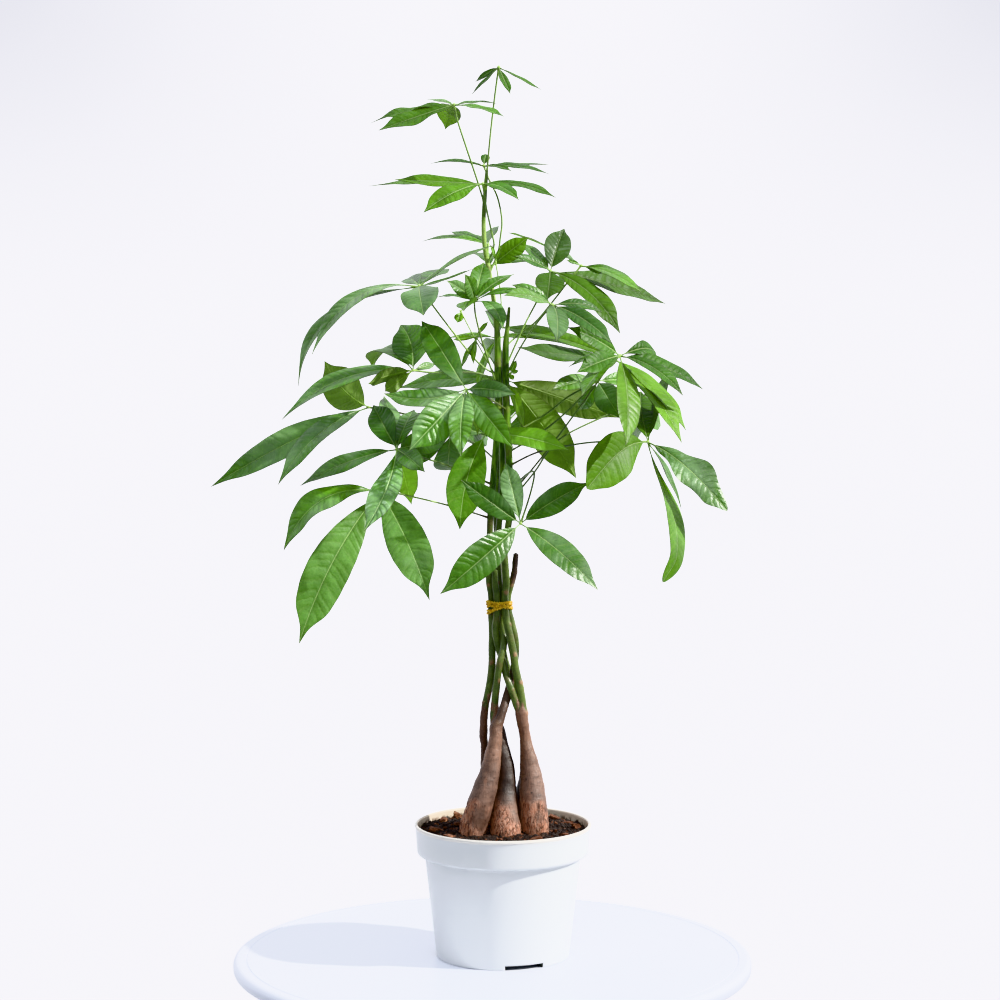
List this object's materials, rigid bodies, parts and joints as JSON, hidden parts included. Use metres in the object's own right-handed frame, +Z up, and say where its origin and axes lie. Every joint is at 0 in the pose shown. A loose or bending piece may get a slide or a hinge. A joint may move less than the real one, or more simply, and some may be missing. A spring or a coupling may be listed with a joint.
{
  "type": "potted money tree",
  "caption": "Potted house plant with swollen trunks tied in a bundle and a crown of long-stalked compound leaves, standing in a tapering plastic nursery pot.",
  "frame": {"origin": "centre of the pot's flat underside, on the surface it stands on", "axes": "+Z up along the plant's height; -Y towards the front of the picture; +X to the right of it"},
  "size_m": [0.4852, 0.3826, 0.8518],
  "materials": {
    "pot": "white moulded plastic, semi-matt",
    "soil": "damp dark potting mix with bark chips",
    "stem": "grey-brown flaking bark low down, smooth green stem above",
    "tie": "gold-yellow coated twist wire",
    "leaf": "glossy green leaves with pale veins"
  },
  "bodies": {
    "root": {"pot": "pot", "soil": "soil", "trunk_a": "stem", "trunk_b": "stem", "trunk_c": "stem", "trunk_d": "stem", "trunk_e": "stem", "tie": "tie", "leaf_01": "leaf", "leaf_02": "leaf", "leaf_03": "leaf", "leaf_04": "leaf", "leaf_05": "leaf", "leaf_06": "leaf", "leaf_07": "leaf", "leaf_08": "leaf", "leaf_09": "leaf", "leaf_10": "leaf", "leaf_11": "leaf", "leaf_12": "leaf", "leaf_13": "leaf", "leaf_14": "leaf", "leaf_15": "leaf", "leaf_16": "leaf", "leaf_17": "leaf", "leaf_18": "leaf", "leaf_19": "leaf", "leaf_20": "leaf", "leaf_21": "leaf", "leaf_22": "leaf", "leaf_23": "leaf", "leaf_24": "leaf", "leaf_25": "leaf", "leaf_26": "leaf", "leaf_27": "leaf"}
  },
  "joints": []
}
